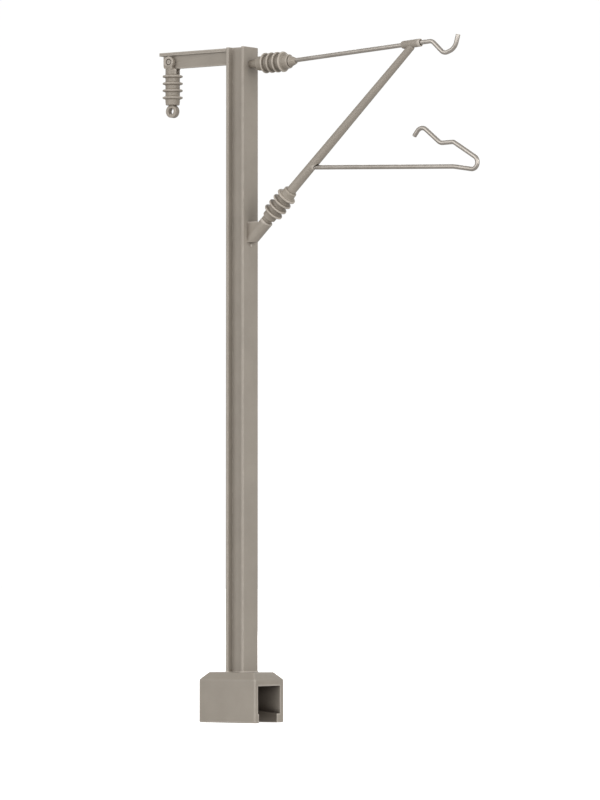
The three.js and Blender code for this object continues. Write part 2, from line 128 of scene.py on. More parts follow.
PIN_RADIUS = 0.33
PIN_HALF = high_mm("feeder_pin").y
EAR_RADIUS = 0.75
EAR_HOLE = 0.44
EAR_INNER = 0.37
EAR_OUTER = 0.97
EAR_NECK = 0.56
EAR_START = -0.27         # where the round head starts and how far it runs, in half turns
EAR_TURN = 1.54
EAR_STEPS = 40
SLOT_FLOOR = 87.1
COLLAR_TOP = 87.86
COLLAR_BOTTOM = 82.95
COLLAR_BOTTOM_RADIUS = 0.93
FEEDER_FIRST_SHED = 83.95
EYE_Z = 82.11
EYE_RADIUS = 0.87
EYE_HOLE = 0.44
EYE_HALF = 0.43
EYE_NECK_HALF = 0.4

SHED_COUNT = 4
SHED_PITCH = 0.96
SHED_RADIUS = 1.37
SHED_FOOT = 0.21          # half the thickness of a shed where it leaves the core
SHED_RIM = 0.13           # half the thickness at its rim
SHED_RIM_ROUND = SHED_RIM * 0.8
SHED_FILLET = 0.06        # how far its fillet runs along the core
SHED_FILLET_RISE = 0.05
SHED_FILLET_ROUND = 0.04
SHED_LEAD = 0.5           # from the end of a collar's taper to the middle of the nearest shed
CORE_RADIUS = 0.98
COLLAR_EDGE = 0.12

STAY_Z = 87.75
STAY_STUB = 0.3           # how deep the stub sits in the mast's flange
STAY_STUB_RADIUS = 0.54
STAY_COLLAR = 2.8
STAY_COLLAR_RADIUS = 0.95
STAY_FIRST_SHED = 3.99
STAY_TAPER = 0.6          # from the middle of the last shed to where the neck's taper starts
STAY_NECK = 7.95
STAY_NECK_RADIUS = 0.93
STAY_GROOVE_RADIUS = 0.62
STAY_GROOVE = 0.08
STAY_CONE_RADIUS = 0.75
STAY_CONE_END_RADIUS = 0.57
STAY_NOSE_LENGTH = 0.4
STAY_NOSE_RADIUS = 0.4
STAY_NOSE = high_mm("stay_insulator").x

WIRE_RADIUS = 0.3
WIRE_EDGE = 0.09
WIRE_SIDES = 28

STRUT_ANGLE = math.radians(42.8)
STRUT_FOOT = Vector((4.3, 0, 66.98))
STRUT_FIRST_SHED = 1.27
STRUT_NECK_RADIUS = 0.7
STRUT_LOW_START = 0.22
STRUT_LOW_COLLAR = 0.93   # the radii of its two collars
STRUT_HIGH_COLLAR = 0.93
STRUT_LOW_LEAD = 0.42
STRUT_COLLAR_END = 5.2
STRUT_END = 32.0
STRUT_LOW_RADIUS = 0.66
STRUT_HIGH_RADIUS = 0.48
STRUT_HIDDEN = 0.6        # how far the tube's foot runs into the insulator's collar
STRUT_TIP = 0.3           # the length of the taper at its end, and how far that draws in
STRUT_TIP_IN = 0.25
SLEEVE_START = 26.1
SLEEVE_END = 29.05
SLEEVE_RADIUS = 0.53
SLEEVE_LEAD = 0.3         # the length of the taper at its inner end, and how far that draws in
SLEEVE_LEAD_IN = 0.06
MOUTH_DEPTH = 0.5         # the recess round the stay wire in the sleeve's outer end
MOUTH_SHOULDER = 0.35
MOUTH_INNER_RADIUS = 0.33
MOUTH_OUTER_RADIUS = 0.41
POCKET_START = 0.45       # the recess round the steady arm, from the wire's hidden end
POCKET_RAISE = 0.04
POCKET_LENGTH = 1.2
POCKET_INNER_RADIUS = 0.34
POCKET_OUTER_RADIUS = 0.42

BRACKET_HALF = 0.72
BRACKET_ARM_RADIUS = 0.845
BRACKET_ARM_DROP = 0.165
BRACKET_ARM_START = -4.6
BRACKET_TIP = -0.8        # where the wedge ends, along the strut's axis
BRACKET_TOE = 0.45        # how far below that axis its lower edge leaves the bottom
BRACKET_TOP_ROUND = 0.4
CUP_DEPTH = 0.3
CUP_CLEARANCE = 0.02
BRACKET_MOUTH = -0.3
BRACKET_BOTTOM = 63.92
BRACKET_TOP = 66.62

# Corners of the two bent wires as (x, z, bend radius), as the CAD frame has them.
STAY_WIRE = [
    (7.4, 87.76, 0),
    (30.81, 89.06, 0.9),
    (32.69, 87.3, 0.95),
    (34.37, 87.84, 1.6),
    (34.92, 89.69, 0),
]
STEADY_WIRE = [
    (11.3, 73.48, 0),
    (34.2, 72.53, 2.0),
    (37.88, 71.93, 0.8),
    (37.88, 73.43, 0.85),
    (34.17, 75.73, 0.6),
    (32.12, 75.68, 1.0),
    (29.06, 78.18, 0.95),
    (27.96, 76.75, 0),
]


# ---------------------------------------------------------------- outlines

def arc_steps(turn, step):
    return max(2, math.ceil(abs(turn) / math.radians(step)))


def corner_arc(before, corner, after, radius, step):
    """The points of the arc that rounds one corner of a flat outline."""
    corner = Vector(corner)
    arriving = (corner - Vector(before)).normalized()
    leaving = (Vector(after) - corner).normalized()
    turn = arriving.angle(leaving)
    start = corner - arriving * radius * math.tan(turn / 2)
    side = (leaving - arriving * math.cos(turn)).normalized()
    count = arc_steps(turn, step)
    points = []
    for k in range(count + 1):
        angle = turn * k / count
        points.append(start + arriving * radius * math.sin(angle) + side * radius * (1 - math.cos(angle)))
    return points


def rounded(corners, closed=True, step=12):
    """An outline whose corners are (a, b, radius); radius 0 keeps the corner sharp."""
    points = []
    count = len(corners)
    for i, (a, b, radius) in enumerate(corners):
        inside = closed or 0 < i < count - 1
        if radius and inside:
            before = corners[i - 1][:2]
            after = corners[(i + 1) % count][:2]
            points.extend(corner_arc(before, (a, b), after, radius, step))
        else:
            points.append(Vector((a, b)))
    return points


def rectangle(half_a, half_b, radius):
    return rounded([(-half_a, -half_b, radius), (half_a, -half_b, radius),
                    (half_a, half_b, radius), (-half_a, half_b, radius)])


def box_outline(low_a, low_b, high_a, high_b):
    corners = [(low_a, low_b), (high_a, low_b), (high_a, high_b), (low_a, high_b)]
    return [Vector(corner) for corner in corners]


def circle(radius, sides):
    return [Vector((math.cos(2 * math.pi * k / sides), math.sin(2 * math.pi * k / sides))) * radius
            for k in range(sides)]


def spread(axis, a, b, along):
    """A point of an outline, set at a distance along the axis that the outline runs along."""
    return {"X": Vector((along, a, b)), "Y": Vector((a, along, b)), "Z": Vector((a, b, along))}[axis]


# ---------------------------------------------------------------- meshes

def to_object(name, bm):
    bmesh.ops.recalc_face_normals(bm, faces=bm.faces)
    mesh = bpy.data.meshes.new(name)
    bm.to_mesh(mesh)
    bm.free()
    piece = bpy.data.objects.new(name, mesh)
    bpy.context.scene.collection.objects.link(piece)
    return piece


def skin(bm, rings, loop=False):
    """Faces between rings of points. A ring of one point is a tip, and a loop has no end faces."""
    made = [[bm.verts.new(point) for point in ring] for ring in rings]
    pairs = list(zip(made, made[1:]))
    if loop:
        pairs.append((made[-1], made[0]))
    for lower, upper in pairs:
        count = max(len(lower), len(upper))
        for i in range(count):
            j = (i + 1) % count
            quad = [lower[i % len(lower)], lower[j % len(lower)],
                    upper[j % len(upper)], upper[i % len(upper)]]
            corners = [v for k, v in enumerate(quad) if v not in quad[:k]]
            bm.faces.new(corners)
    if not loop:
        for ring in (made[0], made[-1]):
            if len(ring) > 2:
                bm.faces.new(ring)


def loft(name, rings):
    bm = bmesh.new()
    skin(bm, rings)
    return to_object(name, bm)


def prism(name, outline, axis, low, high):
    return loft(name, [[spread(axis, a, b, along) for a, b in outline] for along in (low, high)])


def turned(name, profile, place, sides=72):
    """A turned solid. The profile is (distance along the axis, radius), and place carries +Z to the axis."""
    unit = circle(1, sides)
    rings = []
    for along, radius in profile:
        if radius < 1e-6:
            rings.append([place @ Vector((0, 0, along))])
        else:
            rings.append([place @ Vector((u.x * radius, u.y * radius, along)) for u in unit])
    return loft(name, rings)


def rod(name, low, high, radius, place, sides):
    """A plain round rod from one distance along its axis to another."""
    return turned(name, [(low, 0), (low, radius), (high, radius), (high, 0)], place, sides)


def turned_ring(name, profile, place, sides):
    """A turned ring, from a closed profile that stays clear of the axis."""
    unit = circle(1, sides)
    rings = [[place @ Vector((u.x * radius, u.y * radius, along)) for u in unit] for along, radius in profile]
    bm = bmesh.new()
    skin(bm, rings, loop=True)
    return to_object(name, bm)


def bake(piece):
    graph = bpy.context.evaluated_depsgraph_get()
    mesh = bpy.data.meshes.new_from_object(piece.evaluated_get(graph))
    piece.modifiers.clear()
    piece.data = mesh
    return piece


def combine(piece, other, operation):
    join = piece.modifiers.new(operation.lower(), "BOOLEAN")
    join.operation = operation
    join.solver = "EXACT"
    join.object = other
    bake(piece)
    bpy.data.objects.remove(other)


def unite(piece, *others):
    for other in others:
        combine(piece, other, "UNION")
    return piece


def cut(piece, *others):
    for other in others:
        combine(piece, other, "DIFFERENCE")
    return piece


def soften(piece, width):
    """Rounds every sharp edge, inside corners too, as moulded plastic is."""
    bevel = piece.modifiers.new("soften", "BEVEL")
    bevel.width = width
    bevel.segments = SOFT_SEGMENTS
    bevel.limit_method = "ANGLE"
    bevel.angle_limit = SOFT_ANGLE
    bevel.use_clamp_overlap = True
    return bake(piece)


def complete(piece, node, material):
    """Turns a piece into metres, smooths it, and lets it stand for its CAD node on that node's body."""
    piece.data.transform(Matrix.Scale(MM, 4))
    piece.data.shade_smooth()
    piece.data.set_sharp_from_angle(angle=SHARP_ANGLE)
    piece.data.materials.clear()
    piece.data.materials.append(material)
    body = next(b for b, nodes in frame["record"]["behaviour"]["bodies"].items() if node in nodes)
    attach(piece, body)
    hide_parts(node)


# ---------------------------------------------------------------- axes

UP_X = Matrix.Rotation(math.pi / 2, 4, "Y")
UP_Y = Matrix.Rotation(-math.pi / 2, 4, "X")
ALONG_STRUT = Matrix.Translation(STRUT_FOOT) @ Matrix.Rotation(math.pi / 2 - STRUT_ANGLE, 4, "Y")


def across(centre):
    """Carries +Z to +Y through a point of the XZ plane."""
    return Matrix.Translation(centre) @ UP_Y


# ---------------------------------------------------------------- foot and mast

def foot_profile():
    """(inset, height) up the foot's side, with its edges rounded."""
    shoulder = FOOT_HIGH.z - FOOT_BEVEL_DROP
    return rounded([(FOOT_RIM, 0, 0), (0, FOOT_RIM, 0), (0, shoulder, FOOT_SHOULDER_ROUND),
                    (FOOT_BEVEL_IN, FOOT_HIGH.z, FOOT_TOP_ROUND),
                    (FOOT_BEVEL_IN + FOOT_TOP_FLAT, FOOT_HIGH.z, 0)], closed=False, step=8)


def foot_block():
    """A bevelled block, with a socket open at +X and a narrower channel between its ledges below."""
    middle = (FOOT_LOW.x + FOOT_HIGH.x) / 2
    half_length = FOOT_HIGH.x - middle
    rings = []
    for inset, height in foot_profile():
        outline = rectangle(half_length - inset, FOOT_HIGH.y - inset, FOOT_CORNER)
        rings.append([Vector((middle + a, b, height)) for a, b in outline])
    foot = loft("foot_block_fine", rings)
    back = FOOT_LOW.x + SOCKET_BACK_WALL
    mouth = FOOT_HIGH.x
    past = mouth + 1
    space = rounded([(back, RAIL_TOP, 0), (RAIL_SLOPE_START, RAIL_TOP, 0), (mouth, RAIL_MOUTH_TOP, 0),
                     (past, RAIL_MOUTH_TOP, 0), (past, SOCKET_ROOF, 0), (back, SOCKET_ROOF, SOCKET_ROUND)])
    upper = prism("upper", space, "Y", SOCKET_NEAR, SOCKET_FAR)
    channel = box_outline(back, SOCKET_NEAR + NEAR_RAIL, past, SOCKET_FAR - FAR_RAIL)
    lower = prism("lower", channel, "Z", -1, RAIL_TOP + 0.5)
    cut(foot, unite(upper, lower))
    return soften(foot, 0.06)


def h_outline(grow):
    """The H section, grown outwards by a distance, or shrunk where that is negative."""
    face = MAST_FACE + grow
    side = MAST_SIDE + grow
    inner = MAST_FACE - FLANGE - grow
    quarter = [(face, side, MAST_EDGE), (inner, side, MAST_EDGE),
               (inner, WEB_HALF + grow, MAST_INNER_ROUND)]
    corners = list(quarter)
    corners += [(-a, b, r) for a, b, r in reversed(quarter)]
    corners += [(-a, -b, r) for a, b, r in quarter]
    corners += [(a, -b, r) for a, b, r in reversed(quarter)]
    return rounded(corners, step=15)


def mast_column():
    foot = FOOT_HIGH.z
    root_steps = 6
    rings = [(ROOT_FILLET, foot - OVERLAP)]
    for k in range(root_steps + 1):
        angle = k / root_steps * math.pi / 2
        rings.append((ROOT_FILLET * (1 - math.sin(angle)), foot + ROOT_FILLET * (1 - math.cos(angle))))
    top = MAST_TOP_ROUND
    top_steps = 3
    for k in range(top_steps + 1):
        angle = k / top_steps * math.pi / 2
        rings.append((-top * (1 - math.cos(angle)), MAST_TOP - top * (1 - math.sin(angle))))
    mast = loft("mast_column_fine", [[Vector((a, b, z)) for a, b in h_outline(grow)] for grow, z in rings])
    nub = prism("nub", rectangle(NUB_HALF_WIDTH, NUB_HALF_HEIGHT, 0.06), "X",
                MAST_FACE - 0.2, MAST_FACE + NUB_RISE)
    nub.data.transform(Matrix.Translation((0, 0, NUB_TOP - NUB_HALF_HEIGHT)))
    soften(nub, 0.05)
    return unite(mast, nub)


# ---------------------------------------------------------------- feeder arm and hanging insulator

def feeder_arm():
    """A T section: a flat flange over a web that is drilled for the pin."""
    face = OVERLAP - MAST_FACE
    top = MAST_TOP
    under = top - ARM_FLANGE_THICK
    half = ARM_FLANGE_HALF
    plan = rounded([(ARM_END, -half, ARM_TIP_ROUND), (face, -half, 0),
                    (face, half, 0), (ARM_END, half, ARM_TIP_ROUND)])
    flange = prism("feeder_arm_fine", plan, "Z", under, top)
    web_top = under + 0.1
    side = rounded([(ARM_WEB_END, ARM_WEB_BOTTOM, ARM_CORNER), (face, ARM_WEB_BOTTOM, 0),
                    (face, web_top, 0), (ARM_WEB_END, web_top, 0)])
    web = prism("web", side, "Y", -ARM_WEB_HALF, ARM_WEB_HALF)
    arm = unite(flange, web)
    cut(arm, rod("hole", -1, 1, PIN_RADIUS, across(HINGE), 40))
    return soften(arm, 0.05)


def feeder_pin():
    edge = 0.06
    profile = rounded([(-PIN_HALF, 0, 0), (-PIN_HALF, PIN_RADIUS, edge), (PIN_HALF, PIN_RADIUS, edge),
                       (PIN_HALF, 0, 0)], closed=False)
    return turned("feeder_pin_fine", profile, across(HINGE), 48)


def shed(middle):
    """One shed of an insulator: a thin disc with a rounded rim and a fillet at the core."""
    neck = SHED_RADIUS - SHED_RIM
    rise = CORE_RADIUS + SHED_FILLET_RISE
    return [(middle - SHED_FOOT - SHED_FILLET, CORE_RADIUS, SHED_FILLET_ROUND),
            (middle - SHED_FOOT, rise, SHED_FILLET_ROUND),
            (middle - SHED_RIM, neck, 0),
            (middle - SHED_RIM, SHED_RADIUS, SHED_RIM_ROUND),
            (middle + SHED_RIM, SHED_RADIUS, SHED_RIM_ROUND),
            (middle + SHED_RIM, neck, 0),
            (middle + SHED_FOOT, rise, SHED_FILLET_ROUND),
            (middle + SHED_FOOT + SHED_FILLET, CORE_RADIUS, SHED_FILLET_ROUND)]


def sheds(first):
    """The profile of all the sheds, from the middle of the first one."""
    return [point for k in range(SHED_COUNT) for point in shed(first + k * SHED_PITCH)]


def ear_outline():
    """A round head about the hinge, on a neck that stands on the collar."""
    angles = [math.pi * (EAR_START + EAR_TURN * k / EAR_STEPS) for k in range(EAR_STEPS + 1)]
    points = [Vector((HINGE.x + EAR_RADIUS * math.cos(a), HINGE.z + EAR_RADIUS * math.sin(a)))
              for a in angles]
    foot = COLLAR_TOP - 0.03
    points.append(Vector((HINGE.x - EAR_NECK, foot)))
    points.append(Vector((HINGE.x + EAR_NECK, foot)))
    return points


def feeder_insulator():
    """Four sheds below a fork of two ears, with an eye ring underneath."""
    upright = Matrix.Translation((HINGE.x, 0, 0))
    corners = [(COLLAR_BOTTOM, 0, 0), (COLLAR_BOTTOM, COLLAR_BOTTOM_RADIUS, 0.1),
               (FEEDER_FIRST_SHED - SHED_LEAD, CORE_RADIUS, 0), *sheds(FEEDER_FIRST_SHED),
               (COLLAR_TOP, CORE_RADIUS, 0.1), (COLLAR_TOP, 0, 0)]
    body = turned("feeder_insulator_fine", rounded(corners, closed=False), upright)
    ears = prism("ears", ear_outline(), "Y", -EAR_OUTER, EAR_OUTER)
    wide = 2 * CORE_RADIUS
    slot_box = box_outline(HINGE.x - wide, SLOT_FLOOR, HINGE.x + wide, MAST_TOP)
    slot_cutter = prism("slot", slot_box, "Y", -EAR_INNER, EAR_INNER)
    drill = rod("drill", -1, 1, EAR_HOLE, across(HINGE), 48)
    unite(body, ears)
    cut(body, slot_cutter, drill)
    soften(body, 0.06)
    section = rounded([(-EYE_HALF, EYE_HOLE, 0.06), (EYE_HALF, EYE_HOLE, 0.06),
                       (EYE_HALF, EYE_RADIUS, 0.08), (-EYE_HALF, EYE_RADIUS, 0.08)])
    eye = turned_ring("eye", section, across(Vector((HINGE.x, 0, EYE_Z))), 64)
    neck = prism("neck", rectangle(EYE_NECK_HALF, EYE_HALF - 0.03, 0.08), "Z",
                 EYE_Z + EYE_HOLE + 0.15, COLLAR_BOTTOM + 0.2)
    neck.data.transform(upright)
    return unite(body, neck, eye)


# ---------------------------------------------------------------- stay insulator

def stay_insulator():
    """A stub in the mast, a collar, four sheds, a neck with a groove, and a cone nose."""
    last = STAY_FIRST_SHED + (SHED_COUNT - 1) * SHED_PITCH
    start = MAST_FACE - STAY_STUB
    cone = STAY_NECK + STAY_GROOVE
    corners = [(start, 0, 0), (start, STAY_STUB_RADIUS, 0), (STAY_COLLAR, STAY_STUB_RADIUS, 0.08),
               (STAY_COLLAR, STAY_COLLAR_RADIUS, COLLAR_EDGE), (STAY_FIRST_SHED - SHED_LEAD, CORE_RADIUS, 0),
               *sheds(STAY_FIRST_SHED),
               (last + STAY_TAPER, CORE_RADIUS, 0), (STAY_NECK, STAY_NECK_RADIUS, 0.08),
               (STAY_NECK, STAY_GROOVE_RADIUS, 0), (cone, STAY_GROOVE_RADIUS, 0),
               (cone, STAY_CONE_RADIUS, 0.04), (STAY_NOSE - STAY_NOSE_LENGTH, STAY_CONE_END_RADIUS, 0.15),
               (STAY_NOSE, STAY_NOSE_RADIUS, 0.08), (STAY_NOSE, 0, 0)]
    place = Matrix.Translation((0, 0, STAY_Z)) @ UP_X
    return turned("stay_insulator_fine", rounded(corners, closed=False), place)


# ---------------------------------------------------------------- strut, its insulator and bracket

def strut_insulator():
    """A neck in the bracket's cup, then four sheds between two collars."""
    last = STRUT_FIRST_SHED + (SHED_COUNT - 1) * SHED_PITCH
    neck = BRACKET_MOUTH - 0.1
    corners = [(neck, 0, 0), (neck, STRUT_NECK_RADIUS, 0), (STRUT_LOW_START, STRUT_NECK_RADIUS, 0.04),
               (STRUT_LOW_START, STRUT_LOW_COLLAR, 0.1),
               (STRUT_FIRST_SHED - STRUT_LOW_LEAD, STRUT_LOW_COLLAR, 0.05),
               *sheds(STRUT_FIRST_SHED),
               (last + SHED_LEAD, STRUT_HIGH_COLLAR, 0.05),
               (STRUT_COLLAR_END, STRUT_HIGH_COLLAR - 0.02, COLLAR_EDGE), (STRUT_COLLAR_END, 0, 0)]
    return turned("strut_insulator_fine", rounded(corners, closed=False), ALONG_STRUT)


def wire_height(x):
    """The height of the stay wire's straight run above a place along X."""
    (x0, z0, _), (x1, z1, _) = STAY_WIRE[:2]
    return z0 + (x - x0) * (z1 - z0) / (x1 - x0)


def strut_tube():
    """A tapered strut with the stay wire's sleeve across its end and a pocket for the steady arm."""
    foot = STRUT_COLLAR_END - STRUT_HIDDEN
    profile = [(foot, 0), (foot, STRUT_LOW_RADIUS), (STRUT_END - STRUT_TIP, STRUT_HIGH_RADIUS),
               (STRUT_END, STRUT_HIGH_RADIUS - STRUT_TIP_IN), (STRUT_END, 0)]
    tube = turned("strut_tube_fine", profile, ALONG_STRUT, 48)
    start = Vector((SLEEVE_START, 0, wire_height(SLEEVE_START)))
    end = Vector((SLEEVE_END, 0, wire_height(SLEEVE_END)))
    along = (end - start).normalized()
    place = Matrix.Translation(start) @ along.to_track_quat("Z", "Y").to_matrix().to_4x4()
    length = (end - start).length
    shape = rounded([(0, 0, 0), (0, SLEEVE_RADIUS - SLEEVE_LEAD_IN, 0.1), (SLEEVE_LEAD, SLEEVE_RADIUS, 0),
                     (length, SLEEVE_RADIUS, 0.08), (length, 0, 0)], closed=False)
    sleeve = turned("sleeve", shape, place, 48)
    past = length + 0.1
    mouth_profile = [(length - MOUTH_DEPTH, 0), (length - MOUTH_SHOULDER, MOUTH_INNER_RADIUS),
                     (past, MOUTH_OUTER_RADIUS), (past, 0)]
    mouth = turned("mouth", mouth_profile, place, 40)
    entry = Vector((STEADY_WIRE[0][0] + POCKET_START, 0, STEADY_WIRE[0][1] + POCKET_RAISE))
    pocket_profile = [(0, 0), (0, POCKET_INNER_RADIUS), (POCKET_LENGTH, POCKET_OUTER_RADIUS),
                      (POCKET_LENGTH, 0)]
    pocket = turned("pocket", pocket_profile, Matrix.Translation(entry) @ UP_X, 40)
    unite(tube, sleeve)
    cut(tube, mouth, pocket)
    return soften(tube, 0.05)


def beside_strut(along, off):
    """A point of the XZ plane, at distances along the strut's axis and above it."""
    c = math.cos(STRUT_ANGLE)
    s = math.sin(STRUT_ANGLE)
    return STRUT_FOOT.x + along * c - off * s, STRUT_FOOT.z + along * s + off * c


def at_height(off, z):
    """The point at a height on the line that runs beside the strut's axis."""
    x0, z0 = beside_strut(0, off)
    return x0 + (z - z0) / math.tan(STRUT_ANGLE), z


def strut_bracket():
    """A wedge on the mast with an inclined arm, cut flat behind and below, with a cup in its mouth."""
    face = MAST_FACE - OVERLAP
    radius = BRACKET_ARM_RADIUS
    drop = BRACKET_ARM_DROP
    tip = BRACKET_TIP
    wedge = [(face, BRACKET_BOTTOM, 0), (*at_height(-BRACKET_TOE, BRACKET_BOTTOM), 0.1),
             (*beside_strut(tip, -drop - 0.1), 0), (*beside_strut(tip, 0.1 - drop), 0),
             (*at_height(radius - drop, BRACKET_TOP), BRACKET_TOP_ROUND), (face, BRACKET_TOP, 0)]
    bracket = prism("strut_bracket_fine", rounded(wedge), "Y", -BRACKET_HALF, BRACKET_HALF)
    under = Matrix.Translation((drop * math.sin(STRUT_ANGLE), 0, -drop * math.cos(STRUT_ANGLE)))
    mouth = BRACKET_MOUTH
    arm = rod("arm", BRACKET_ARM_START, mouth, radius, under @ ALONG_STRUT, 64)
    unite(bracket, arm)
    clear_below = 60
    clear_above = 70
    behind = prism("behind", rectangle(2, 2, 0), "Z", clear_below, clear_above)
    behind.data.transform(Matrix.Translation((face - 2, 0, 0)))
    below = prism("below", rectangle(6, 2, 0), "Z", clear_below, BRACKET_BOTTOM)
    floor = mouth - CUP_DEPTH
    seat = STRUT_NECK_RADIUS + CUP_CLEARANCE
    cup_profile = [(floor, 0), (floor, seat - 0.05), (mouth, seat), (1, seat + 0.1), (1, 0)]
    cup = turned("cup", cup_profile, ALONG_STRUT, 64)
    cut(bracket, behind, below, cup)
    return soften(bracket, 0.07)


# ---------------------------------------------------------------- wires

def wire(name, corners):
    """A round wire along straight runs and arcs, with cut ends that are slightly rounded."""
    centres = [Vector((x, 0, z)) for x, z in rounded(corners, closed=False, step=6)]
    tangents = []
    for i in range(len(centres)):
        before = centres[max(i - 1, 0)]
        after = centres[min(i + 1, len(centres) - 1)]
        tangents.append((after - before).normalized())
    nose = []
    nose_steps = 4
    for k in range(nose_steps + 1):
        angle = math.pi / 2 * (1 - k / nose_steps)
        nose.append((WIRE_EDGE * (1 - math.sin(angle)), WIRE_RADIUS - WIRE_EDGE * (1 - math.cos(angle))))
    stations = [(centres[0] + tangents[0] * along, tangents[0], radius) for along, radius in nose]
    stations += [(c, t, WIRE_RADIUS) for c, t in zip(centres[1:-1], tangents[1:-1])]
    stations += [(centres[-1] - tangents[-1] * along, tangents[-1], radius)
                 for along, radius in reversed(nose)]
    side = Vector((0, 1, 0))
    rings = []
    for centre, tangent, radius in stations:
        up = tangent.cross(side)
        rings.append([centre + (side * u.x + up * u.y) * radius for u in circle(1, WIRE_SIDES)])
    return loft(name, rings)


# ---------------------------------------------------------------- materials

INSULATOR_GREY = (0.290, 0.255, 0.212)
# Colours of painted shade: in gaps, deep in the foot's socket and on the sides of its ledges.
SEAM_SHADE = (0.18, 0.15, 0.12)
SOCKET_SHADE = (0.045, 0.035, 0.027)
LEDGE_SHADE = (0.07, 0.056, 0.042)
SHADE_SAMPLES = 12


class Graph:
    """A small helper that adds nodes to one material and joins them."""

    def __init__(self, name):
        self.material = bpy.data.materials.new(name)
        self.material.use_nodes = True
        self.tree = self.material.node_tree
        self.shader = self.tree.nodes["Principled BSDF"]
        self.place = self.add("ShaderNodeTexCoord").outputs["Object"]

    def add(self, kind, **values):
        node = self.tree.nodes.new(kind)
        for key, value in values.items():
            setattr(node, key, value)
        return node

    def link(self, source, target):
        self.tree.links.new(source, target)

    def noise(self, scale, detail, stretch=None):
        node = self.add("ShaderNodeTexNoise")
        node.inputs["Scale"].default_value = scale
        node.inputs["Detail"].default_value = detail
        source = self.place
        if stretch:
            mapping = self.add("ShaderNodeMapping")
            mapping.inputs["Scale"].default_value = stretch
            self.link(source, mapping.inputs["Vector"])
            source = mapping.outputs["Vector"]
        self.link(source, node.inputs["Vector"])
        return node.outputs["Fac"]

    def spread(self, value, low, high, to_low, to_high):
        node = self.add("ShaderNodeMapRange")
        node.inputs["From Min"].default_value = low
        node.inputs["From Max"].default_value = high
        node.inputs["To Min"].default_value = to_low
        node.inputs["To Max"].default_value = to_high
        self.link(value, node.inputs["Value"])
        return node.outputs["Result"]

    def mix(self, factor, first, second):
        node = self.add("ShaderNodeMix", data_type="RGBA")
        self.link(factor, node.inputs["Factor"])
        for source, target in ((first, node.inputs["A"]), (second, node.inputs["B"])):
            if isinstance(source, tuple):
                target.default_value = (*source, 1)
            else:
                self.link(source, target)
        return node.outputs["Result"]

    def between(self, axis, low, high):
        """1 where the place along the axis, in millimetres, is between the limits, 0 outside them."""
        fade = 0.05
        parts = self.add("ShaderNodeSeparateXYZ")
        self.link(self.place, parts.inputs["Vector"])
        above = self.spread(parts.outputs[axis], (low - fade) * MM, (low + fade) * MM, 0.0, 1.0)
        under = self.spread(parts.outputs[axis], (high - fade) * MM, (high + fade) * MM, 1.0, 0.0)
        return self.times(above, under)

    def times(self, first, second):
        node = self.add("ShaderNodeMath", operation="MULTIPLY")
        self.link(first, node.inputs[0])
        self.link(second, node.inputs[1])
        return node.outputs["Value"]

    def edges(self, distance, flat, sharp):
        """1 on rims and outer corners, where little plastic lies within the distance, 0 on flat faces."""
        shade = self.add("ShaderNodeAmbientOcclusion", samples=SHADE_SAMPLES, inside=True, only_local=True)
        shade.inputs["Distance"].default_value = distance
        return self.spread(shade.outputs["AO"], flat, sharp, 0.0, 1.0)

    def crevices(self, distance, shut, clear):
        """1 in a tight gap, 0 in the open."""
        shade = self.add("ShaderNodeAmbientOcclusion", samples=SHADE_SAMPLES)
        shade.inputs["Distance"].default_value = distance
        return self.spread(shade.outputs["AO"], shut, clear, 1.0, 0.0)

    def bump(self, layers):
        """Layers are (height, strength, distance), coarse first."""
        previous = None
        for height, strength, distance in layers:
            node = self.add("ShaderNodeBump")
            node.inputs["Strength"].default_value = strength
            node.inputs["Distance"].default_value = distance
            self.link(height, node.inputs["Height"])
            if previous:
                self.link(previous, node.inputs["Normal"])
            previous = node.outputs["Normal"]
        self.link(previous, self.shader.inputs["Normal"])


def moulded_plastic(name, base, wear_and_highlight, shadow, gap, roughness, clear=0.75, flat=0.85, sharp=0.45):
    """Warm grey moulded plastic: fine matt grain, soft blotches, paler rims and edges that are partly wear
    and partly painted highlight, and painted shade in its gaps.
    """
    g = Graph(name)
    blotch = g.spread(g.noise(260, 4), 0.3, 0.7, 0.0, 1.0)
    colour = g.mix(blotch, tuple(c * 0.94 for c in base), tuple(c * 1.06 for c in base))
    speckle = g.spread(g.noise(3800, 2), 0.6, 0.75, 0.0, 0.3)
    colour = g.mix(speckle, colour, tuple(c * 0.86 for c in base))
    # Paler rims and edges: partly light wear, partly a painted highlight on every rim and outer corner.
    rim = g.times(g.edges(0.0003, flat, sharp), g.spread(g.noise(900, 3), 0.35, 0.65, 0.6, 1.0))
    colour = g.mix(rim, colour, wear_and_highlight)
    # Painted shade: darker in tight gaps, between the sheds and where parts meet.
    colour = g.mix(g.crevices(gap, 0.1, clear), colour, shadow)
    g.link(colour, g.shader.inputs["Base Color"])
    grain = g.spread(g.noise(1400, 3), 0.3, 0.7, roughness - 0.05, roughness + 0.07)
    g.link(grain, g.shader.inputs["Roughness"])
    g.shader.inputs["IOR"].default_value = 1.5
    g.shader.inputs["Specular IOR Level"].default_value = 0.5
    g.bump([(g.noise(420, 2), 0.12, 0.00012), (g.noise(3600, 3), 0.22, 0.00002)])
    return g


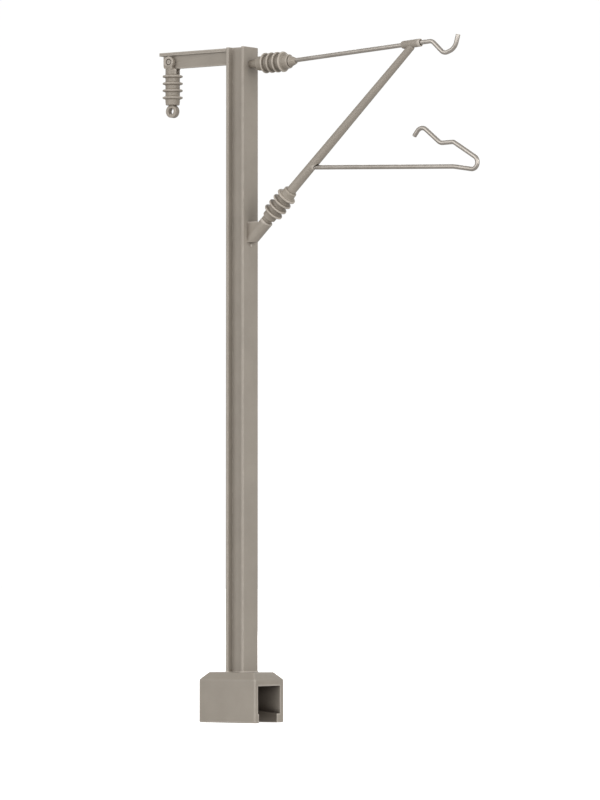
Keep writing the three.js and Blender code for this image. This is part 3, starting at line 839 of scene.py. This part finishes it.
def drawn_wire(name):
    """Bare drawn wire: nickel grey metal with fine draw marks and a little tarnish."""
    bright = (0.50, 0.465, 0.425)
    tarnished = (0.42, 0.385, 0.345)
    drawn = (0.38, 0.345, 0.305)
    g = Graph(name)
    tarnish = g.spread(g.noise(500, 3), 0.35, 0.7, 0.0, 1.0)
    colour = g.mix(tarnish, bright, tarnished)
    marks = g.noise(3000, 2, stretch=(0.15, 1.0, 0.5))
    colour = g.mix(g.spread(marks, 0.5, 0.75, 0.0, 0.35), colour, drawn)
    g.link(colour, g.shader.inputs["Base Color"])
    g.shader.inputs["Metallic"].default_value = 0.9
    g.link(g.spread(g.noise(900, 3), 0.3, 0.7, 0.34, 0.44), g.shader.inputs["Roughness"])
    g.bump([(marks, 0.12, 0.00001)])
    return g.material


def mast_plastic():
    return moulded_plastic("mast_plastic", base=(0.295, 0.262, 0.222), wear_and_highlight=(0.52, 0.475, 0.42),
                           shadow=SEAM_SHADE, gap=0.0007, roughness=0.5).material


def foot_plastic():
    """The foot's plastic: painted shade that deepens into its socket, and painted shade on the sides of its
    ledges.
    """
    g = moulded_plastic("foot_plastic", base=(0.290, 0.258, 0.218), wear_and_highlight=(0.46, 0.42, 0.37),
                        shadow=SEAM_SHADE, gap=0.0007, roughness=0.47, flat=0.97, sharp=0.6)
    colour = g.shader.inputs["Base Color"].links[0].from_socket
    # Painted shade, deepening into the socket.
    colour = g.mix(g.crevices(0.009, 0.3, 0.78), colour, SOCKET_SHADE)
    # Painted shade on the inner sides of the ledges, inside the socket.
    along = g.between("X", FOOT_LOW.x + SOCKET_BACK_WALL - 0.1, FOOT_HIGH.x - 0.1)
    sideways = g.between("Y", SOCKET_NEAR + 0.1, SOCKET_FAR - 0.3)
    ledge = g.times(g.times(along, sideways), g.between("Z", 0.06, RAIL_TOP - 0.08))
    ledge = g.spread(ledge, 0.0, 1.0, 0.0, 0.75)
    g.link(g.mix(ledge, colour, LEDGE_SHADE), g.shader.inputs["Base Color"])
    return g.material


def insulator_plastic():
    return moulded_plastic("insulator_plastic", base=INSULATOR_GREY, wear_and_highlight=(0.60, 0.54, 0.47),
                           shadow=(0.065, 0.048, 0.033), gap=0.0012, roughness=0.43, clear=0.9).material


def hanging_plastic():
    return moulded_plastic("hanging_insulator_plastic", base=INSULATOR_GREY, wear_and_highlight=(0.50, 0.45, 0.395),
                           shadow=(0.2, 0.165, 0.128), gap=0.0006, roughness=0.43).material


def glow_material(name, strength, base):
    g = Graph(name)
    g.shader.inputs["Base Color"].default_value = (base, base, base, 1)
    g.shader.inputs["Roughness"].default_value = 0.8
    g.shader.inputs["Emission Color"].default_value = (1, 1, 1, 1)
    g.shader.inputs["Emission Strength"].default_value = strength
    return g.material


# ---------------------------------------------------------------- floor, light and camera, in metres

STAGE_RADIUS = 4.0
FLOOR_DROP = 0.00002
BACKDROP_HEIGHTS = (-2.0, 4.0)
LIGHT_DISTANCE = 0.9


def seen_only(piece, material):
    """A stage piece that the camera sees and that lights nothing."""
    piece.data.materials.append(material)
    piece.visible_diffuse = False
    piece.visible_glossy = False
    piece.visible_shadow = False


def stage_circle():
    return circle(STAGE_RADIUS, 96)


def make_floor():
    """A disc just under the foot, so that their faces don't coincide."""
    bm = bmesh.new()
    bm.faces.new([bm.verts.new((p.x, p.y, -FLOOR_DROP)) for p in stage_circle()])
    seen_only(to_object("floor", bm), glow_material("pale_floor", 0.82, 0.8))


def make_backdrop():
    rings = [[Vector((p.x, p.y, z)) for p in stage_circle()] for z in BACKDROP_HEIGHTS]
    seen_only(loft("backdrop", rings), glow_material("white_backdrop", 1.0, 0.0))


def make_world():
    """Dim even light, which fills the shadows."""
    world = bpy.data.worlds.new("studio")
    bpy.context.scene.world = world
    world.use_nodes = True
    background = world.node_tree.nodes["Background"]
    background.inputs["Color"].default_value = (1.0, 0.985, 0.965, 1)
    background.inputs["Strength"].default_value = 0.53


def soft_box(name, azimuth, elevation, size, power):
    """A square light that faces the middle of the mast. Azimuth 0 stands on the -Y side, 90 on +X."""
    middle = (CAD_BOX[0] + CAD_BOX[1]) / 2
    a = math.radians(azimuth)
    e = math.radians(elevation)
    back = Vector((math.sin(a) * math.cos(e), -math.cos(a) * math.cos(e), math.sin(e)))
    data = bpy.data.lights.new(name, "AREA")
    data.shape = "SQUARE"
    data.size = size
    data.energy = power
    light = bpy.data.objects.new(name, data)
    light.location = middle + back * LIGHT_DISTANCE
    light.rotation_euler = (-back).to_track_quat("-Z", "Y").to_euler()
    bpy.context.scene.collection.objects.link(light)


def make_lights():
    soft_box("front", -12, 18, 0.8, 3.6)
    soft_box("right", 84, 14, 0.6, 3.7)
    soft_box("fill", 40, 8, 0.6, 1.8)
    soft_box("back", 216, 20, 0.6, 2.4)


def make_camera():
    """Looks level along the azimuth, and then up by the pitch."""
    azimuth = math.radians(35.96)
    pitch = math.radians(1.90)
    distance = 0.66994
    to_the_right = 0.007753
    height = 0.020687
    right = Vector((math.cos(azimuth), math.sin(azimuth), 0))
    ahead = Vector((-math.sin(azimuth), math.cos(azimuth), 0))
    data = bpy.data.cameras.new("camera")
    data.lens = 226.12
    data.sensor_width = 36
    camera = bpy.data.objects.new("camera", data)
    camera.location = right * to_the_right - ahead * distance + Vector((0, 0, height))
    aim = ahead * math.cos(pitch) + Vector((0, 0, math.sin(pitch)))
    camera.rotation_euler = aim.to_track_quat("-Z", "Y").to_euler()
    bpy.context.scene.collection.objects.link(camera)
    bpy.context.scene.camera = camera


# ---------------------------------------------------------------- assembly

def make_object():
    grey = mast_plastic()
    insulator = insulator_plastic()
    metal = drawn_wire("wire_metal")
    complete(foot_block(), "foot_block", foot_plastic())
    complete(mast_column(), "mast_column", grey)
    complete(feeder_arm(), "feeder_arm", grey)
    complete(feeder_pin(), "feeder_pin", grey)
    complete(feeder_insulator(), "feeder_insulator", hanging_plastic())
    complete(stay_insulator(), "stay_insulator", insulator)
    complete(wire("stay_wire_fine", STAY_WIRE), "stay_wire", metal)
    complete(strut_bracket(), "strut_bracket", grey)
    complete(strut_insulator(), "strut_insulator", insulator)
    complete(strut_tube(), "strut_tube", grey)
    complete(wire("steady_arm_wire_fine", STEADY_WIRE), "steady_arm_wire", metal)


make_camera()
make_world()
make_lights()
make_floor()
make_backdrop()
make_object()
bpy.context.scene.view_settings.view_transform = "Standard"
